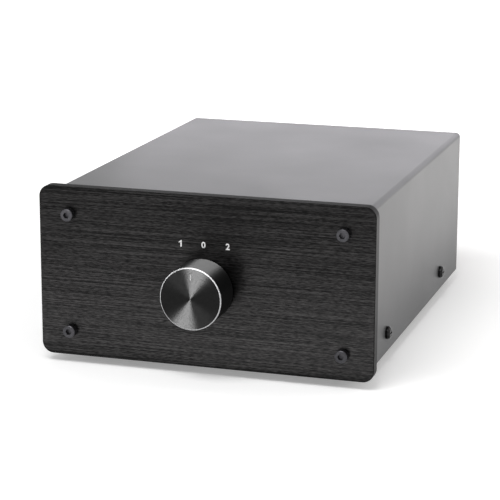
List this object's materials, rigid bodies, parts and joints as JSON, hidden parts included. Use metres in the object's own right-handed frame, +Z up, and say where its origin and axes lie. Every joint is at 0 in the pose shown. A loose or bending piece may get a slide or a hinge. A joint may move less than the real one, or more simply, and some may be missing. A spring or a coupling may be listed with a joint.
{
  "type": "speaker selector switch",
  "caption": "Flat steel box with a thick front panel whose rotary knob switches loudspeakers between amplifiers wired to screw-cap binding posts on the rear.",
  "frame": {"origin": "middle of the whole outline, knob and posts included, on the surface that the feet stand on", "axes": "+X to the right seen from the front, +Y from the front panel to the rear posts, +Z up; the front panel faces -Y"},
  "size_m": [0.15, 0.2318, 0.0793],
  "materials": {
    "black_anodised": "brushed, black anodised",
    "grey_paint": "satin, finely textured",
    "black_screw": "black oxide, satin",
    "plated_steel": "zinc plated",
    "spring_steel": "polished",
    "rubber": "matte",
    "guide_plastic": "natural nylon",
    "wafer_board": "laminated paper board",
    "silvered_brass": "silver plated",
    "gilded_brass": "gold plated",
    "red_plastic": "semi-gloss",
    "black_plastic": "semi-gloss",
    "red_wire": "soft insulation",
    "black_wire": "soft insulation"
  },
  "bodies": {
    "case": {"front_panel": "black_anodised", "top_cover": "grey_paint", "chassis": "grey_paint", "panel_screws": "black_screw", "cover_screws": "black_screw", "clinch_nuts": "plated_steel", "foot_screws": "plated_steel", "foot_nuts": "plated_steel", "rubber_feet": "rubber", "switch_frame": "plated_steel", "switch_nut": "plated_steel", "switch_lock_washer": "plated_steel", "switch_index_plate": "plated_steel", "switch_spacers": "plated_steel", "switch_tie_screws": "plated_steel", "detent_spring": "spring_steel", "detent_guide": "guide_plastic", "switch_wafers": "wafer_board", "switch_terminals": "silvered_brass", "post_shafts": "gilded_brass", "post_nuts": "gilded_brass", "soldering_lugs": "silvered_brass", "post_collars_red": "red_plastic", "post_collars_black": "black_plastic", "post_insulators": "black_plastic", "wires_red": "red_wire", "wires_black": "black_wire"},
    "selector": {"selector_knob": "black_anodised", "knob_set_screw": "black_screw", "switch_shaft": "plated_steel", "shaft_clip": "spring_steel", "detent_wheel": "plated_steel", "switch_rotors": "wafer_board", "rotor_blades": "silvered_brass"},
    "detent_ball": {"detent_ball": "spring_steel"},
    "washer_amp_1_left_plus": {"washer_amp_1_left_plus": "gilded_brass"},
    "cap_amp_1_left_plus": {"cap_amp_1_left_plus": "red_plastic"},
    "washer_amp_1_left_minus": {"washer_amp_1_left_minus": "gilded_brass"},
    "cap_amp_1_left_minus": {"cap_amp_1_left_minus": "black_plastic"},
    "washer_amp_1_right_plus": {"washer_amp_1_right_plus": "gilded_brass"},
    "cap_amp_1_right_plus": {"cap_amp_1_right_plus": "red_plastic"},
    "washer_amp_1_right_minus": {"washer_amp_1_right_minus": "gilded_brass"},
    "cap_amp_1_right_minus": {"cap_amp_1_right_minus": "black_plastic"},
    "washer_speaker_left_plus": {"washer_speaker_left_plus": "gilded_brass"},
    "cap_speaker_left_plus": {"cap_speaker_left_plus": "red_plastic"},
    "washer_speaker_left_minus": {"washer_speaker_left_minus": "gilded_brass"},
    "cap_speaker_left_minus": {"cap_speaker_left_minus": "black_plastic"},
    "washer_speaker_right_plus": {"washer_speaker_right_plus": "gilded_brass"},
    "cap_speaker_right_plus": {"cap_speaker_right_plus": "red_plastic"},
    "washer_speaker_right_minus": {"washer_speaker_right_minus": "gilded_brass"},
    "cap_speaker_right_minus": {"cap_speaker_right_minus": "black_plastic"},
    "washer_amp_2_left_plus": {"washer_amp_2_left_plus": "gilded_brass"},
    "cap_amp_2_left_plus": {"cap_amp_2_left_plus": "red_plastic"},
    "washer_amp_2_left_minus": {"washer_amp_2_left_minus": "gilded_brass"},
    "cap_amp_2_left_minus": {"cap_amp_2_left_minus": "black_plastic"},
    "washer_amp_2_right_plus": {"washer_amp_2_right_plus": "gilded_brass"},
    "cap_amp_2_right_plus": {"cap_amp_2_right_plus": "red_plastic"},
    "washer_amp_2_right_minus": {"washer_amp_2_right_minus": "gilded_brass"},
    "cap_amp_2_right_minus": {"cap_amp_2_right_minus": "black_plastic"}
  },
  "joints": [
    {"name": "selector_turn", "type": "hinge", "parent": "case", "child": "selector", "pos_m": [0, -0.0984, 0.03875], "axis": [0, 1, 0], "range_deg": [-30, 30]},
    {"name": "detent_ball_travel", "type": "slide", "parent": "case", "child": "detent_ball", "axis": [0, 0, 1], "range_m": [-0.0005, 0], "stiffness_N_per_m": 1000, "springref_m": -0.002, "deforming": ["detent_spring"]},
    {"name": "washer_slide_amp_1_left_plus", "type": "slide", "parent": "case", "child": "washer_amp_1_left_plus", "axis": [0, 1, 0], "range_m": [0, 0.006]},
    {"name": "cap_turn_amp_1_left_plus", "type": "hinge", "parent": "washer_amp_1_left_plus", "child": "cap_amp_1_left_plus", "pos_m": [0.0385, 0.0936, 0.057], "axis": [0, 1, 0], "range_deg": [0, 2160]},
    {"name": "washer_slide_amp_1_left_minus", "type": "slide", "parent": "case", "child": "washer_amp_1_left_minus", "axis": [0, 1, 0], "range_m": [0, 0.006]},
    {"name": "cap_turn_amp_1_left_minus", "type": "hinge", "parent": "washer_amp_1_left_minus", "child": "cap_amp_1_left_minus", "pos_m": [0.0575, 0.0936, 0.057], "axis": [0, 1, 0], "range_deg": [0, 2160]},
    {"name": "washer_slide_amp_1_right_plus", "type": "slide", "parent": "case", "child": "washer_amp_1_right_plus", "axis": [0, 1, 0], "range_m": [0, 0.006]},
    {"name": "cap_turn_amp_1_right_plus", "type": "hinge", "parent": "washer_amp_1_right_plus", "child": "cap_amp_1_right_plus", "pos_m": [0.0385, 0.0936, 0.026], "axis": [0, 1, 0], "range_deg": [0, 2160]},
    {"name": "washer_slide_amp_1_right_minus", "type": "slide", "parent": "case", "child": "washer_amp_1_right_minus", "axis": [0, 1, 0], "range_m": [0, 0.006]},
    {"name": "cap_turn_amp_1_right_minus", "type": "hinge", "parent": "washer_amp_1_right_minus", "child": "cap_amp_1_right_minus", "pos_m": [0.0575, 0.0936, 0.026], "axis": [0, 1, 0], "range_deg": [0, 2160]},
    {"name": "washer_slide_speaker_left_plus", "type": "slide", "parent": "case", "child": "washer_speaker_left_plus", "axis": [0, 1, 0], "range_m": [0, 0.006]},
    {"name": "cap_turn_speaker_left_plus", "type": "hinge", "parent": "washer_speaker_left_plus", "child": "cap_speaker_left_plus", "pos_m": [-0.0095, 0.0936, 0.057], "axis": [0, 1, 0], "range_deg": [0, 2160]},
    {"name": "washer_slide_speaker_left_minus", "type": "slide", "parent": "case", "child": "washer_speaker_left_minus", "axis": [0, 1, 0], "range_m": [0, 0.006]},
    {"name": "cap_turn_speaker_left_minus", "type": "hinge", "parent": "washer_speaker_left_minus", "child": "cap_speaker_left_minus", "pos_m": [0.0095, 0.0936, 0.057], "axis": [0, 1, 0], "range_deg": [0, 2160]},
    {"name": "washer_slide_speaker_right_plus", "type": "slide", "parent": "case", "child": "washer_speaker_right_plus", "axis": [0, 1, 0], "range_m": [0, 0.006]},
    {"name": "cap_turn_speaker_right_plus", "type": "hinge", "parent": "washer_speaker_right_plus", "child": "cap_speaker_right_plus", "pos_m": [-0.0095, 0.0936, 0.026], "axis": [0, 1, 0], "range_deg": [0, 2160]},
    {"name": "washer_slide_speaker_right_minus", "type": "slide", "parent": "case", "child": "washer_speaker_right_minus", "axis": [0, 1, 0], "range_m": [0, 0.006]},
    {"name": "cap_turn_speaker_right_minus", "type": "hinge", "parent": "washer_speaker_right_minus", "child": "cap_speaker_right_minus", "pos_m": [0.0095, 0.0936, 0.026], "axis": [0, 1, 0], "range_deg": [0, 2160]},
    {"name": "washer_slide_amp_2_left_plus", "type": "slide", "parent": "case", "child": "washer_amp_2_left_plus", "axis": [0, 1, 0], "range_m": [0, 0.006]},
    {"name": "cap_turn_amp_2_left_plus", "type": "hinge", "parent": "washer_amp_2_left_plus", "child": "cap_amp_2_left_plus", "pos_m": [-0.0575, 0.0936, 0.057], "axis": [0, 1, 0], "range_deg": [0, 2160]},
    {"name": "washer_slide_amp_2_left_minus", "type": "slide", "parent": "case", "child": "washer_amp_2_left_minus", "axis": [0, 1, 0], "range_m": [0, 0.006]},
    {"name": "cap_turn_amp_2_left_minus", "type": "hinge", "parent": "washer_amp_2_left_minus", "child": "cap_amp_2_left_minus", "pos_m": [-0.0385, 0.0936, 0.057], "axis": [0, 1, 0], "range_deg": [0, 2160]},
    {"name": "washer_slide_amp_2_right_plus", "type": "slide", "parent": "case", "child": "washer_amp_2_right_plus", "axis": [0, 1, 0], "range_m": [0, 0.006]},
    {"name": "cap_turn_amp_2_right_plus", "type": "hinge", "parent": "washer_amp_2_right_plus", "child": "cap_amp_2_right_plus", "pos_m": [-0.0575, 0.0936, 0.026], "axis": [0, 1, 0], "range_deg": [0, 2160]},
    {"name": "washer_slide_amp_2_right_minus", "type": "slide", "parent": "case", "child": "washer_amp_2_right_minus", "axis": [0, 1, 0], "range_m": [0, 0.006]},
    {"name": "cap_turn_amp_2_right_minus", "type": "hinge", "parent": "washer_amp_2_right_minus", "child": "cap_amp_2_right_minus", "pos_m": [-0.0385, 0.0936, 0.026], "axis": [0, 1, 0], "range_deg": [0, 2160]}
  ],
  "couplings": [
    {"joint": "cap_turn_amp_1_left_plus", "follows": "washer_slide_amp_1_left_plus", "rad_per_m": 6283.2},
    {"joint": "cap_turn_amp_1_left_minus", "follows": "washer_slide_amp_1_left_minus", "rad_per_m": 6283.2},
    {"joint": "cap_turn_amp_1_right_plus", "follows": "washer_slide_amp_1_right_plus", "rad_per_m": 6283.2},
    {"joint": "cap_turn_amp_1_right_minus", "follows": "washer_slide_amp_1_right_minus", "rad_per_m": 6283.2},
    {"joint": "cap_turn_speaker_left_plus", "follows": "washer_slide_speaker_left_plus", "rad_per_m": 6283.2},
    {"joint": "cap_turn_speaker_left_minus", "follows": "washer_slide_speaker_left_minus", "rad_per_m": 6283.2},
    {"joint": "cap_turn_speaker_right_plus", "follows": "washer_slide_speaker_right_plus", "rad_per_m": 6283.2},
    {"joint": "cap_turn_speaker_right_minus", "follows": "washer_slide_speaker_right_minus", "rad_per_m": 6283.2},
    {"joint": "cap_turn_amp_2_left_plus", "follows": "washer_slide_amp_2_left_plus", "rad_per_m": 6283.2},
    {"joint": "cap_turn_amp_2_left_minus", "follows": "washer_slide_amp_2_left_minus", "rad_per_m": 6283.2},
    {"joint": "cap_turn_amp_2_right_plus", "follows": "washer_slide_amp_2_right_plus", "rad_per_m": 6283.2},
    {"joint": "cap_turn_amp_2_right_minus", "follows": "washer_slide_amp_2_right_minus", "rad_per_m": 6283.2}
  ]
}
